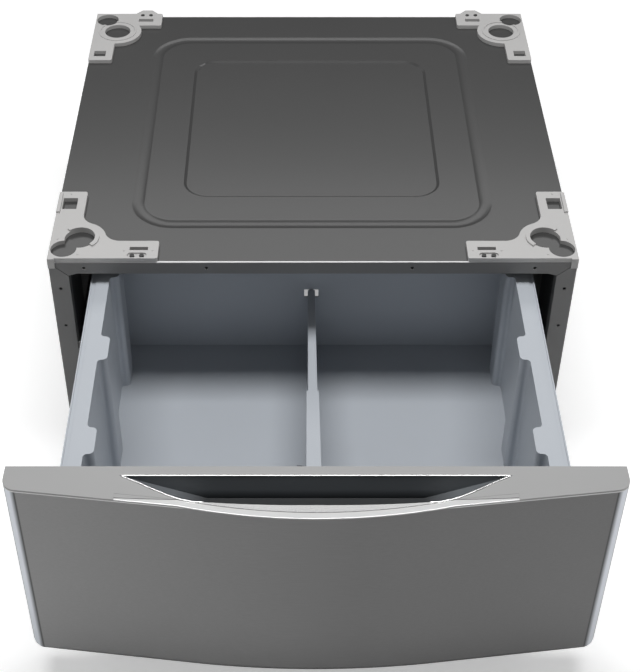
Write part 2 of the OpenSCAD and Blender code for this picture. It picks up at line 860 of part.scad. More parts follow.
// The rim's plan outline, in from its outer edge; its front end meets the drawer front
module rim_plan(inset) {
    half = tub_half + wall_t + rim_out - inset;
    back = tub_back + wall_t + rim_out - inset;
    r = rim_corner_r - inset / 2;
    translate([-half, 0]) square([2 * half, back - r]);
    translate([-half + r, 0]) square([2 * half - 2 * r, back]);
    for (s = [-1, 1])
        translate([s * (half - r), back - r]) circle(r = r);
}

module drawer_tub() color(tub_grey)
    translate([0, panel_y, 0]) difference() {
        union() {
            translate([0, 0, floor_z - wall_t]) linear_extrude(wall_t) tub_plan(wall_t);
            translate([0, 0, floor_z]) linear_extrude(tub_depth - rim_t)
                difference() {
                    tub_plan(wall_t);
                    tub_plan(0);
                }
            translate([0, 0, rim_z - rim_t]) linear_extrude(rim_t)
                difference() {
                    rim_plan(rim_lip + rim_groove);
                    tub_plan(0);
                }
            translate([0, 0, rim_z - rim_t - rim_groove_drop]) linear_extrude(rim_t)
                difference() {
                    rim_plan(0);
                    translate([0, -overrun]) rim_plan(rim_lip + rim_groove);
                }
            translate([0, 0, rim_z - rim_skirt_h]) linear_extrude(rim_skirt_h)
                difference() {
                    rim_plan(0);
                    translate([0, -overrun]) rim_plan(rim_lip);
                }
        }
        translate([0, 0, floor_z + divider_h - divider_slot_h])
            box([-divider_slot_w / 2, divider_slot_w / 2],
                [tub_back - overrun, tub_back + wall_t + overrun], [0, divider_slot_h]);
        translate([locator_x, locator_back, floor_z - wall_t - overrun])
            linear_extrude(wall_t + 2 * overrun) square([locator_w, locator_l], center = true);
        for (y = carrier_screw_ys)
            both_sides() along_x(tub_half - overrun, tub_half + wall_t + overrun,
                                 screw_r + hole_gap, y - panel_y, slide_z);
        tub_screw_places()
            translate([0, 0, tub_front - wall_t - overrun])
                cylinder(r = screw_r + hole_gap, h = wall_t + 2 * overrun);
    }

// Divider: a moulded blade, thicker at the front, with a tab in the tub's back wall
module divider() color(tub_grey) {
    front = tub_front + seat_gap;
    back = tub_back - seat_gap;
    right = [
        [0, front],
        [divider_front_half, front],
        [divider_shoulder_half, front + divider_shoulder_l],
        [divider_neck_half, front + divider_shoulder_l],
        [divider_back_half, back],
        [0, back]
    ];
    top = floor_z + divider_h;
    translate([0, panel_y, 0]) {
        translate([0, 0, floor_z]) linear_extrude(divider_h) both_sides() polygon(right);
        box([-divider_tab_w / 2, divider_tab_w / 2],
            [back, tub_back + wall_t + divider_tab_l],
            [top - divider_slot_h + seat_gap, top - divider_tab_drop]);
    }
}

// Runs a section, drawn out from the bow's centre, round the bow and straight on to its ends
module bow_run()
    translate([0, bow_y, 0]) {
        rotate(-90 - wing_turn) rotate_extrude(angle = 2 * wing_turn, $fn = 720) children();
        both_sides() rotate(wing_turn - 90) translate([0, wing_l, 0]) rotate([90, 0, 0])
            linear_extrude(wing_l) children();
    }

// Plan of the drawer front, in from its outer surface, as a row of points
function panel_outline(inset, back) =
    let (
        big = bow_r - inset,
        r = panel_edge_r - inset,
        bow = [for (k = [0 : bow_steps])
            let (t = wing_turn * k / bow_steps) [big * sin(t), bow_y - big * cos(t)]],
        end = [for (k = [0 : end_steps])
            let (t = wing_turn + (90 - wing_turn) * k / end_steps)
                [edge_x + r * sin(t), edge_y - r * cos(t)]],
        right = concat(bow, end, [[side_x - inset, -back]])
    )
    concat(right, [for (i = [len(right) - 1 : -1 : 1]) [-right[i][0], right[i][1]]]);

// The drawer front's body, in from its outer surface, with its lower edge rounded
module panel_solid(inset, top) {
    r = panel_low_r - inset;
    hull() for (j = [0 : low_steps]) {
        low = panel_z + inset + r * (1 - cos(90 * j / low_steps));
        translate([0, 0, low]) linear_extrude(top - low)
            polygon(panel_outline(inset + r * (1 - sin(90 * j / low_steps)), inset));
    }
}

// The space above the grip's dipped top surface, lowered by a thickness
module above_dip(lower)
    translate([0, -dip_back, cab_h - grip_dip + dip_r]) rotate([90, 0, 0])
        cylinder(r = dip_r + lower, h = panel_mid_t, $fn = 720);

module above_top(lower) {
    above_dip(lower);
    box([-side_x - overrun, side_x + overrun], [-panel_mid_t - overrun, overrun],
        [cab_h - lower, cab_h + overrun]);
}

// Steel skin: bowed face, rounded ends and narrow returns behind
module front_skin() color(steel_grey)
    translate([0, panel_y, 0]) difference() {
        panel_solid(0, cab_h - lip_t);
        panel_solid(skin_t, cab_h);
        box([-side_x + skin_return, side_x - skin_return], [-skin_t - overrun, overrun],
            [panel_z - overrun, cab_h]);
        above_dip(lip_t);
    }

// Moulded frame behind the skin: a pan with upright ribs and bosses for the tub's screws
module front_frame() color(plastic_grey)
    translate([0, panel_y, 0]) {
        pan_back = -skin_t - frame_t;
        difference() {
            union() {
                difference() {
                    panel_solid(skin_t, cap_z);
                    panel_solid(skin_t + frame_t, cap_z - frame_t);
                    hull_front();
                }
                intersection() {
                    panel_solid(skin_t, cap_z);
                    union() {
                        for (share = frame_rib_shares)
                            box([share * side_x - frame_rib_t / 2, share * side_x + frame_rib_t / 2],
                                [-panel_mid_t, pan_back], [panel_z, cap_z]);
                    }
                }
                box([-side_x + skin_return, side_x - skin_return], [-skin_t, 0],
                    [panel_z + panel_low_r, cap_z]);
                tub_screw_places() cylinder(r = boss_r, h = tub_front - wall_t);
            }
            tub_screw_places() translate([0, 0, -skin_t - frame_t - overrun])
                cylinder(r = screw_r + hole_gap, h = tub_front + frame_t + 3 * overrun);
        }
    }

// Clears the inside of the pan right through to the skin
module hull_front()
    intersection() {
        translate([0, -panel_mid_t, 0])
            box([-side_x + skin_t + frame_t + panel_edge_r, side_x - skin_t - frame_t - panel_edge_r],
                [-overrun, panel_mid_t - skin_t - frame_t],
                [panel_z + skin_t + frame_t, cap_z - frame_t]);
        panel_solid(0, cap_z);
    }

// Screw places in the drawer's frame, pointing back from the panel's rear face
module tub_screw_places()
    for (x = [-boss_x, boss_x])
        for (z = [floor_z + boss_low, rim_z - boss_high])
            translate([x, 0, z]) rotate([-90, 0, 0]) children();

module tub_screws() color(zinc)
    translate([0, panel_y, 0]) tub_screw_places() {
        translate([0, 0, -frame_t]) cylinder(r = screw_r, h = tub_front + frame_t);
        translate([0, 0, tub_front]) cylinder(r = screw_head_r, h = screw_head_h);
    }

// The finger scoop: a dished pocket that narrows downwards and runs under the grip
function scoop_reach(x) =
    ledge + (scoop_front - ledge) * cos(90 * max(0, (abs(x) - scoop_flat) / (scoop_half - scoop_flat)));

module scoop(grow) {
    xs = [for (i = [0 : scoop_steps]) scoop_flat + (scoop_half - scoop_flat) * i / scoop_steps];
    right = [for (x = xs) [x, -scoop_reach(x)]];
    left = [for (i = [scoop_steps : -1 : 0]) [-right[i][0], right[i][1]]];
    low_y = -scoop_front - scoop_undercut;
    hull() {
        translate([0, 0, cab_h]) linear_extrude(overrun) offset(delta = grow)
            polygon(concat(right, left));
        translate([0, 0, cab_h - scoop_depth - grow]) linear_extrude(grow + seam)
            offset(delta = grow) translate([-scoop_floor_half, low_y])
                square([2 * scoop_floor_half, -low_y - scoop_floor_back]);
    }
}

// A band along the front edge, as wide as the trim, from its seat up; over clears its outside
module trim_band(over)
    intersection() {
        bow_run() translate([bow_r - trim_w, cap_z]) square([trim_w + over, cap_h + over]);
        box([-trim_half, trim_half], [-panel_mid_t - overrun, -dip_back], [cap_z, cab_h + over]);
        above_top(trim_t);
    }

// Trim strip along the front of the grip
module handle_trim() color(zinc)
    translate([0, panel_y, 0]) difference() {
        trim_band(0);
        above_dip(0);
    }

// Top cap: a moulded cover with the finger scoop, seated on the frame inside the skin
module top_cap() color(cap_grey)
    translate([0, panel_y, 0]) difference() {
        union() {
            difference() {
                union() {
                    panel_solid(skin_t, cab_h);
                    intersection() {
                        panel_solid(0, cab_h);
                        union() {
                            above_top(lip_t);
                            box([-side_x + skin_return, side_x - skin_return],
                                [-skin_t, 0], [cap_z, cab_h]);
                        }
                    }
                }
                panel_solid(skin_t + cap_wall, cab_h - grip_dip - lip_t - cap_wall);
                box([-side_x, side_x], [-panel_mid_t - overrun, overrun],
                    [panel_z - overrun, cap_z]);
            }
            intersection() {
                panel_solid(skin_t, cab_h);
                scoop(cap_wall);
            }
        }
        scoop(0);
        above_dip(0);
        trim_band(overrun);
    }

// Rubber bumpers on the back of the drawer front
module front_bumpers() color(rubber_black)
    both_sides() for (z = [panel_z + bumper_low, cab_h - bumper_high])
        along_y(panel_y, panel_y + front_gap - bumper_gap, bumper_r, side_x - bumper_xs_in, z);

// Fills the hollow between the bulge and a straight edge; it bites in a hair past both
module bulge_fillet(edge) {
    reach = bulge_r + bulge_fillet_r;
    rise = edge + bulge_fillet_r;
    run = sqrt(reach * reach - rise * rise);
    difference() {
        polygon([[0, 0], [run, rise], [run, edge - overrun], [0, edge - overrun]]);
        translate([run, rise]) circle(r = bulge_fillet_r + fillet_bite);
    }
}

// A front bracket in its own plan: u in from the side edge, v back from the front edge
module front_bracket_plan() {
    square([front_arm_l, front_arm_w]);
    square([front_leg_w, front_leg_l]);
    translate([well_u, front_well_v]) {
        circle(r = bulge_r);
        bulge_fillet(front_arm_w - front_well_v);
        mirror([1, -1, 0]) bulge_fillet(front_leg_w - well_u);
    }
}

module place_front_bracket()
    translate([side_x, front_y, cab_h]) mirror([1, 0, 0]) children();

module front_right_bracket() color(plastic_grey)
    place_front_bracket() difference() {
        union() {
            linear_extrude(bracket_h) front_bracket_plan();
            translate([well_u, front_well_v, bracket_h]) linear_extrude(collar_h)
                difference() {
                    circle(r = big_well_r + collar_t);
                    rotate(-135) translate([0, -bulge_r]) square([bulge_r, 2 * bulge_r]);
                }
            translate([0, leg_slot_v - leg_rib_l / 2, bracket_h])
                cube([leg_rib_w, leg_rib_l, leg_rib_h]);
            for (p = front_pins)
                translate([p[0], p[1], bracket_h]) cylinder(r = pin_r, h = pin_h);
            translate([0, -hook_t, -hook_h]) cube([hook_w, hook_t, hook_h + bracket_h]);
        }
        translate([well_u, front_well_v, -overrun])
            cylinder(r = big_well_r, h = bracket_h + collar_h + 2 * overrun);
        translate([small_well_u, front_small_v, -overrun])
            cylinder(r = small_well_r, h = bracket_h + collar_h + 2 * overrun);
        translate([arm_slot_u - arm_slot_w / 2, arm_slot_v - arm_slot_l / 2, -overrun])
            cube([arm_slot_w, arm_slot_l, bracket_h + 2 * overrun]);
        translate([leg_slot_u - leg_slot_w / 2, leg_slot_v - leg_slot_l / 2, -overrun])
            cube([leg_slot_w, leg_slot_l, bracket_h + 2 * overrun]);
        translate([(bracket_screw_us[0] + bracket_screw_us[1]) / 2, bracket_screw_v,
                   bracket_h - bracket_pocket_drop])
            linear_extrude(bracket_pocket_drop + overrun)
                rounded_plan(bracket_pocket_w, bracket_pocket_l, bracket_pocket_l / 2 - seam);
        for (u = bracket_screw_us)
            translate([u, bracket_screw_v, -overrun])
                cylinder(r = screw_r + hole_gap, h = bracket_h + 2 * overrun);
    }
module front_left_bracket() mirror([1, 0, 0]) front_right_bracket();

// A rear bracket in its own plan: u in from the side edge, v forward from the back edge
module rear_bracket_plan() {
    square([rear_arm_l, rear_arm_w]);
    square([rear_leg_w, rear_leg_l]);
    translate([well_u, rear_well_v]) circle(r = rear_bulge_r, $fn = 96);
}

module place_rear_bracket()
    translate([side_x, back_y, cab_h]) rotate([0, 0, 180]) children();

module rear_right_bracket() color(plastic_grey)
    place_rear_bracket() difference() {
        union() {
            linear_extrude(bracket_h) intersection() {
                rear_bracket_plan();
                square([rear_arm_l, rear_leg_l]);
            }
            linear_extrude(bracket_h)
                polygon([
                    [tail_u - tail_w / 2, 0],
                    [tail_u - tail_top_w / 2, -tail_l],
                    [tail_u + tail_top_w / 2, -tail_l],
                    [tail_u + tail_w / 2, 0]
                ]);
            translate([well_u, rear_well_v, bracket_h]) linear_extrude(ring_h)
                difference() {
                    circle(r = ring_out + ring_t);
                    circle(r = ring_out);
                }
        }
        translate([well_u, rear_well_v, -overrun])
            cylinder(r = big_well_r, h = bracket_h + 2 * overrun);
        translate([small_well_u, rear_small_v, -overrun])
            cylinder(r = small_well_r, h = bracket_h + 2 * overrun);
        translate([rear_slot_u - rear_slot_w / 2, rear_slot_v - rear_slot_l / 2, -overrun])
            cube([rear_slot_w, rear_slot_l, bracket_h + 2 * overrun]);
        translate([rear_leg_slot_u - rear_leg_slot_w / 2, rear_leg_slot_v - rear_leg_slot_l / 2, -overrun])
            cube([rear_leg_slot_w, rear_leg_slot_l, bracket_h + 2 * overrun]);
        for (u = tail_screw_us)
            translate([u, tail_screw_v, -overrun])
                cylinder(r = screw_r + hole_gap, h = bracket_h + 2 * overrun);
    }
module rear_left_bracket() mirror([1, 0, 0]) rear_right_bracket();

// Screws that hold the brackets: down through the front pockets and behind the rear slots
module bracket_screws() color(zinc)
    both_sides() {
        place_front_bracket() for (u = bracket_screw_us)
            translate([u, bracket_screw_v, 0]) {
                cylinder(r = screw_r, h = bracket_h - bracket_pocket_drop);
                translate([0, 0, bracket_h - bracket_pocket_drop])
                    cylinder(r = screw_head_r - screw_r / 2, h = bracket_pocket_drop);
            }
        place_rear_bracket() for (u = tail_screw_us)
            translate([u, tail_screw_v, 0]) {
                cylinder(r = screw_r, h = bracket_h);
                translate([0, 0, bracket_h]) cylinder(r = screw_head_r - screw_r / 2, h = pin_h);
            }
    }

left_side_panel();
right_side_panel();
top_plate();
rear_panel();
front_rail();
front_base_rail();
rear_base_rail();
foot_plates();
left_front_post();
right_front_post();
left_rear_post();
right_rear_post();
front_left_bracket();
front_right_bracket();
rear_left_bracket();
rear_right_bracket();
bracket_screws();
panel_screws();
front_left_foot();
front_right_foot();
rear_left_foot();
rear_right_foot();
foot_lock_nuts();
left_outer_rail();
right_outer_rail();
left_mid_rail();
right_mid_rail();
left_inner_rail();
right_inner_rail();
left_outer_cage();
right_outer_cage();
left_inner_cage();
right_inner_cage();
left_outer_balls();
right_outer_balls();
left_inner_balls();
right_inner_balls();
left_release_lever();
right_release_lever();
slide_rivets();
left_carrier();
right_carrier();
carrier_screws();
drawer_tub();
divider();
tub_screws();
front_frame();
front_skin();
top_cap();
handle_trim();
front_bumpers();
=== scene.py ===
import math

import bpy
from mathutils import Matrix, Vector


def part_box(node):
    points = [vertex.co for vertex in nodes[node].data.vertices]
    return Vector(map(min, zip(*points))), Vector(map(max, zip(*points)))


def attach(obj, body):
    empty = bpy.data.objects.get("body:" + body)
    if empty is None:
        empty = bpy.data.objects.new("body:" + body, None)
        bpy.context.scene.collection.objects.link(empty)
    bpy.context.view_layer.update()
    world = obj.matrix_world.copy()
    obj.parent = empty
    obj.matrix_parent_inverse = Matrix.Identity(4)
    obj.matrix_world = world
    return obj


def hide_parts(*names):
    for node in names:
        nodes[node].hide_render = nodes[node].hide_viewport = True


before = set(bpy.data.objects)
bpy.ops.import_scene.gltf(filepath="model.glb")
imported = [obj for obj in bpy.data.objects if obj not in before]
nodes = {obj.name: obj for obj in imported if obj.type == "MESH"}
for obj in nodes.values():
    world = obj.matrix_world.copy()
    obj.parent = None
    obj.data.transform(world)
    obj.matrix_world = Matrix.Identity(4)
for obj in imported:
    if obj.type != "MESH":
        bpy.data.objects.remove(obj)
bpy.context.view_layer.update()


# Camera. The photograph looks straight at the open drawer from in front and above. The
# picture is 640 by 672 pixels, the sensor is fitted to its height, and the object stands
# a little left of the lens's middle.
camera_data = bpy.data.cameras.new("photo_camera")
camera_data.sensor_fit = "VERTICAL"
camera_data.sensor_height = 36.0
camera_data.lens = 75.65
camera_data.shift_x = 0.0382
camera = bpy.data.objects.new("photo_camera", camera_data)
bpy.context.scene.collection.objects.link(camera)
camera.location = (-0.0239, -1.7364, 1.4932)
camera.rotation_euler = (math.radians(90 - 41.953), 0, 0)
bpy.context.scene.camera = camera
bpy.context.scene.view_settings.view_transform = "Standard"


# Side panels. Each is one sheet of 1 mm steel, folded round to the stile in front and to
# three flanges, then powder coated in a mid grey. They stand on the corner plates and are
# closed by the rear panel.
class Value:
    """One socket of a material, so that shader maths reads as Python."""

    def __init__(self, finish, socket):
        self.finish = finish
        self.socket = socket

    def _maths(self, operation, first, second):
        return self.finish.node("ShaderNodeMath", {"operation": operation}, {0: first, 1: second})

    def __add__(self, other):
        return self._maths("ADD", self, other)

    def __radd__(self, other):
        return self._maths("ADD", other, self)

    def __sub__(self, other):
        return self._maths("SUBTRACT", self, other)

    def __rsub__(self, other):
        return self._maths("SUBTRACT", other, self)

    def __mul__(self, other):
        return self._maths("MULTIPLY", self, other)

    def __rmul__(self, other):
        return self._maths("MULTIPLY", other, self)

    def root(self):
        return self._maths("POWER", self, 0.5)

    def size(self):
        return (self * self).root()


class Finish:
    """A material, and the one method that adds its nodes."""

    def __init__(self, name, plain=()):
        self.material = bpy.data.materials.new(name)
        self.material.use_nodes = True
        self.tree = self.material.node_tree
        self.shader = self.tree.nodes["Principled BSDF"]
        for socket, value in dict(plain).items():
            self.shader.inputs[socket].default_value = value

    def node(self, kind, settings=None, values=None, output=0):
        made = self.tree.nodes.new(kind)
        for name, value in (settings or {}).items():
            setattr(made, name, value)
        for name, value in (values or {}).items():
            self.feed(made.inputs[name], value)
        return Value(self, made.outputs[output])

    def feed(self, socket, value):
        if isinstance(value, Value):
            self.tree.links.new(value.socket, socket)
        else:
            socket.default_value = value

    def grain(self, size, detail=2.0, stretch=(1, 1, 1)):
        place = self.node("ShaderNodeTexCoord", output="Object")
        spread = self.node("ShaderNodeMapping", values={"Vector": place, "Scale": stretch})
        return self.node("ShaderNodeTexNoise",
                         values={"Vector": spread, "Scale": 1 / size, "Detail": detail})

    def along(self, axis):
        place = self.node("ShaderNodeTexCoord", output="Object")
        return self.node("ShaderNodeSeparateXYZ", values={"Vector": place}, output=axis)

    def between(self, amount, low, high):
        return self.node("ShaderNodeMapRange", values={0: amount, 1: low, 2: high})

    def mixed(self, amount, first, second):
        return self.node("ShaderNodeMix", {"data_type": "RGBA"}, {0: amount, 6: first, 7: second}, output=2)

    def set(self, name, value):
        self.feed(self.shader.inputs[name], value)

    def relief(self, height, depth):
        self.set("Normal", self.node("ShaderNodeBump", values={"Height": height, "Distance": depth}))


def grey(level, warm=0.0):
    return (level * (1 + warm), level, level * (1 - warm), 1.0)


def powder_coat(name, level, rough):
    coat = Finish(name, {"Coat Weight": 0.15, "Coat Roughness": 0.3})
    cloud = coat.grain(0.16)
    speck = coat.grain(0.0011, 1.0)
    coat.set("Base Color", coat.mixed(cloud, grey(level * 0.94), grey(level * 1.06)))
    coat.set("Roughness", rough + 0.08 * cloud + 0.05 * speck)
    coat.relief(speck, 0.00003)
    return coat.material


def take(piece):
    bpy.ops.object.select_all(action="DESELECT")
    piece.select_set(True)
    bpy.context.view_layer.objects.active = piece


def copied(node):
    """A copy of a CAD node, its loose triangles merged to whole faces."""
    piece = bpy.data.objects.new("dressed_" + node, nodes[node].data.copy())
    bpy.context.scene.collection.objects.link(piece)
    take(piece)
    bpy.ops.object.mode_set(mode="EDIT")
    bpy.ops.mesh.select_all(action="SELECT")
    bpy.ops.mesh.remove_doubles(threshold=0.00001)
    bpy.ops.mesh.dissolve_limited(angle_limit=math.radians(0.3))
    bpy.ops.object.mode_set(mode="OBJECT")
    return piece


def roll_edges(piece, width, steps, chosen):
    """Rolls over the edges that a test picks by their two ends."""
    take(piece)
    mesh = piece.data
    bpy.ops.object.mode_set(mode="EDIT")
    bpy.ops.mesh.select_mode(type="EDGE")
    bpy.ops.mesh.select_all(action="DESELECT")
    bpy.ops.object.mode_set(mode="OBJECT")
    for edge in mesh.edges:
        ends = [mesh.vertices[i].co for i in edge.vertices]
        edge.select = chosen(*ends)
    bpy.ops.object.mode_set(mode="EDIT")
    bpy.ops.mesh.bevel(offset=width, segments=steps, affect="EDGES")
    bpy.ops.object.mode_set(mode="OBJECT")


def ease(piece, width, steps=2, angle=30):
    """Takes the sharpness off every edge that turns more than an angle."""
    take(piece)
    edge = piece.modifiers.new("edge", "BEVEL")
    edge.width = width
    edge.segments = steps
    edge.limit_method = "ANGLE"
    edge.angle_limit = math.radians(angle)
    edge.use_clamp_overlap = True
    bpy.ops.object.modifier_apply(modifier="edge")


def coat(piece, *finishes):
    piece.data.materials.clear()
    for finish in finishes:
        piece.data.materials.append(finish)


def seat(piece, body, *stands_for, smooth=40):
    """Smooths a finished piece and puts it on the body that carries it."""
    take(piece)
    bpy.ops.object.shade_smooth_by_angle(angle=math.radians(smooth))
    flats = piece.modifiers.new("flats", "WEIGHTED_NORMAL")
    flats.keep_sharp = True
    bpy.ops.object.modifier_apply(modifier="flats")
    if stands_for:
        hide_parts(*stands_for)
    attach(piece, body)


def near(value, mark, room=0.0006):
    return abs(value - mark) < room


cabinet_coat = powder_coat("cabinet_coat", 0.2, 0.42)
(_, front_y, _), (side_x, _, _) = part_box("top_plate")
for name in ("left_side_panel", "right_side_panel"):
    panel = copied(name)
    roll_edges(panel, 0.002, 4, lambda a, b: near(abs(a.x), side_x) and near(abs(b.x), side_x)
               and near(a.y, front_y) and near(b.y, front_y))
    ease(panel, 0.0003)
    coat(panel, cabinet_coat)
    seat(panel, "cabinet", name)


# Rear panel. A flat sheet with a shallow pressed field that keeps it from drumming, screwed
# to the side panels' rear flanges with six pan-head screws.
panel = copied("rear_panel")
ease(panel, 0.0012, 3)
coat(panel, cabinet_coat)
seat(panel, "cabinet", "rear_panel")


def plated(name, level, rough):
    metal = Finish(name, {"Metallic": 1.0})
    streak = metal.grain(0.0018, 3.0, (1, 0.06, 1))
    cloud = metal.grain(0.05)
    metal.set("Base Color", metal.mixed(cloud, grey(level * 0.85), grey(level * 1.1)))
    metal.set("Roughness", rough + 0.12 * streak)
    metal.relief(streak, 0.000002)
    return metal.material


def wear(finish, *names):
    for name in names:
        coat(nodes[name], finish)


zinc_plate = plated("zinc_plate", 0.52, 0.28)
wear(zinc_plate, "panel_screws")


# Rails and posts inside the cabinet. Channels of 1 to 1.2 mm steel, spot welded behind the
# stiles and across the bottom; they are coated nearly black and stay in the shade.
inner_coat = powder_coat("inner_coat", 0.045, 0.5)
wear(inner_coat, "front_rail", "rear_base_rail", "left_front_post", "right_front_post",
     "left_rear_post", "right_rear_post")
wear(cabinet_coat, "front_base_rail")


# Top plate. One pressed sheet with a rounded groove and a shallow panel inside it, its
# front edge folded down into the header, finished in a smooth dark enamel.
def enamel(name, level, rough):
    skin = Finish(name, {"Coat Weight": 0.4, "Coat Roughness": 0.16})
    cloud = skin.grain(0.25)
    ripple = skin.grain(0.006, 1.0)
    skin.set("Base Color", skin.mixed(cloud, grey(level * 0.93), grey(level * 1.07)))
    skin.set("Roughness", rough + 0.05 * cloud)
    skin.relief(ripple, 0.00002)
    return skin.material


plate = copied("top_plate")
top_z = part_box("top_plate")[1][2]
plate_gauge = 0.001
pan_out = 0.184
groove_out = 0.2475
groove_mid_y = 0.003
groove_longer = 0.0005
groove_lift_share = 0.55
header_skin = 0.0011
fold_depth = 0.0035
for point in plate.data.vertices:
    sunk = top_z - point.co.z - (0 if point.normal.z > 0 else plate_gauge)
    reach = max(abs(point.co.x), abs(point.co.y - groove_mid_y) - groove_longer)
    if pan_out < reach < groove_out + 0.002 and 0.0002 < sunk < 0.0045:
        point.co.z += groove_lift_share * sunk
roll_edges(plate, 0.0025, 5, lambda a, b: near(a.y, front_y) and near(b.y, front_y)
           and near(a.z, top_z) and near(b.z, top_z))
ease(plate, 0.0003)
header_coat = powder_coat("header_coat", 0.17, 0.42)
# Painted highlight: the rounded fold along the header's top gets a pale coat.
header_fold_highlight = powder_coat("header_fold_highlight", 0.7, 0.25)
coat(plate, enamel("top_enamel", 0.045, 0.3), header_coat, header_fold_highlight)
for face in plate.data.polygons:
    if face.center.y < front_y + header_skin and face.normal.z < 0.8:
        face.material_index = 1
    # Faces on the rounded fold take the painted highlight.
    if face.center.y < front_y + fold_depth and 0.25 < face.normal.z < 0.97:
        face.material_index = 2
seat(plate, "cabinet", "top_plate", smooth=12)


# Levelling feet. Four black moulded pads on threaded stems, screwed up through nuts welded
# to zinc-plated corner plates and held by a lock nut.
wear(zinc_plate, "foot_plates", "foot_lock_nuts")
rubber = Finish("foot_rubber")
speckle = rubber.grain(0.002)
rubber.set("Base Color", rubber.mixed(speckle, grey(0.016), grey(0.03)))
rubber.set("Roughness", 0.6 + 0.2 * speckle)
rubber.relief(speckle, 0.0001)
for name in ("front_left_foot", "front_right_foot", "rear_left_foot", "rear_right_foot"):
    foot = copied(name)
    ease(foot, 0.0006, 2, 25)
    coat(foot, rubber.material)
    seat(foot, name, name)


# Corner brackets. Moulded in a warm pale grey plastic, they hold the feet of the machine
# on top in round wells, and are screwed to the top plate through small pockets.
def moulding(name, colour, rough, sheen=0.0):
    plastic = Finish(name, {"Coat Weight": sheen, "Coat Roughness": 0.25})
    cloud = plastic.grain(0.1)
    pebble = plastic.grain(0.0009, 1.0)
    dark = tuple(c * 0.95 for c in colour[:3]) + (1.0,)
    plastic.set("Base Color", plastic.mixed(cloud, dark, colour))
    plastic.set("Roughness", rough + 0.06 * pebble)
    plastic.relief(pebble, 0.00003)
    return plastic.material


bracket_plastic = moulding("bracket_plastic", grey(0.5, 0.01), 0.45)
for name in ("front_left_bracket", "front_right_bracket", "rear_left_bracket", "rear_right_bracket"):
    bracket = copied(name)
    arm_end = min(abs(point.co.x) for point in bracket.data.vertices)
    leg_end = min(abs(point.co.y) for point in bracket.data.vertices)
    roll_edges(bracket, 0.003, 3, lambda a, b: near(a.x, b.x) and near(a.y, b.y) and abs(a.z - b.z) > 0.002
               and (near(abs(a.x), arm_end) or near(abs(a.y), leg_end)))
    ease(bracket, 0.001, 3)
    coat(bracket, bracket_plastic)
    seat(bracket, "cabinet", name)
wear(plated("dark_zinc", 0.1, 0.35), "bracket_screws")


# Slides. Full-extension ball-bearing slides in rolled zinc-plated steel: an outer rail
# riveted to the posts, a middle rail, an inner rail on the drawer, steel balls in nylon
# cages, and a moulded lever that lets the drawer out.
wear(zinc_plate, "left_outer_rail", "right_outer_rail", "left_mid_rail", "right_mid_rail",
     "left_inner_rail", "right_inner_rail", "slide_rivets")
wear(plated("ball_steel", 0.7, 0.12), "left_outer_balls", "right_outer_balls",
     "left_inner_balls", "right_inner_balls")
wear(moulding("cage_nylon", grey(0.6), 0.45), "left_outer_cage", "right_outer_cage",
     "left_inner_cage", "right_inner_cage")
wear(moulding("lever_nylon", grey(0.03), 0.45), "left_release_lever", "right_release_lever")


# Carriers. Folded steel channels between the tub and the inner rails, fixed with screws
# through the tub's wall and rivets through the rails.
wear(zinc_plate, "left_carrier", "right_carrier", "carrier_screws", "tub_screws")


# Tub and divider. Injection moulded in a pale blue-grey plastic: a deep box with soft
# pilasters along both sides and a broad flat rim, and a blade that divides it.
tub_plastic = moulding("tub_plastic", (0.47, 0.50, 0.54, 1.0), 0.4, sheen=0.1)
tub = copied("drawer_tub")
ease(tub, 0.0012, 3)
coat(tub, tub_plastic)
seat(tub, "drawer", "drawer_tub")
blade = copied("divider")
ease(blade, 0.002, 4)
coat(blade, tub_plastic)
seat(blade, "drawer", "divider")


# Drawer front. A moulded frame carries a bowed skin of brushed stainless steel, and four rubber bumpers
# that meet the cabinet. The steel carries painted reflection, lighter left and darker right, with a dark
# line and a bright bend near each end; its top fold has a painted highlight.
wear(moulding("frame_plastic", grey(0.45), 0.5), "front_frame")
wear(rubber.material, "front_bumpers")
dark_line_stretch = (0.3275, 0.329)
bend_reflection_stretch = (0.3293, 0.3345)
end_stretch = (0.3395, 0.342)
highlight_drop = 0.013
face_depth = 0.02
brushed = Finish("brushed_steel", {"Metallic": 1.0})
hair = brushed.grain(0.0006, 4.0, (0.012, 1, 1))
cloud = brushed.grain(0.12)
across = brushed.along(0)
# Painted reflection: the steel is lighter over its left half and darker over its right.
lighter_left_reflection = brushed.mixed(hair, grey(0.235), grey(0.305))
darker_right_reflection = brushed.mixed(hair, grey(0.155), grey(0.21))
steel_with_painted_gradient = brushed.mixed(brushed.between(across, -0.33, 0.05), lighter_left_reflection, darker_right_reflection)
outward = across.size()
# Painted reflection at each end: a dark line, then a pale blue-white strip on the bend, kept off the side
# face.
inside_end = 1 - brushed.between(outward, *end_stretch)
painted_dark_line = brushed.mixed(brushed.between(outward, *dark_line_stretch) * inside_end, steel_with_painted_gradient, grey(0.09))
painted_bend_reflection = brushed.mixed(brushed.between(outward, *bend_reflection_stretch) * inside_end, painted_dark_line, (0.7, 0.73, 0.78, 1.0))
skin_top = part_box("front_skin")[1][2]
# Painted highlight: a pale line along the top of the skin.
skin_top_highlight = brushed.between(brushed.along(2), skin_top - 0.0015, skin_top - 0.001)
brushed.set("Base Color", brushed.mixed(skin_top_highlight, painted_bend_reflection, grey(0.65)))
brushed.set("Roughness", 0.3 + 0.12 * hair + 0.05 * cloud)
brushed.relief(hair, 0.000006)
panel_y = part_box("top_cap")[1][1]
# A bright metal that paints highlights onto rounded edges.
painted_highlight = Finish("painted_highlight_edge", {"Metallic": 1.0})
smear = painted_highlight.grain(0.03, 2.0, (0.1, 1, 1))
painted_highlight.set("Base Color", painted_highlight.mixed(smear, grey(0.84), grey(0.92)))
painted_highlight.set("Roughness", 0.2 + 0.06 * smear)
skin = copied("front_skin")
ease(skin, 0.0003)
coat(skin, brushed.material, painted_highlight.material)
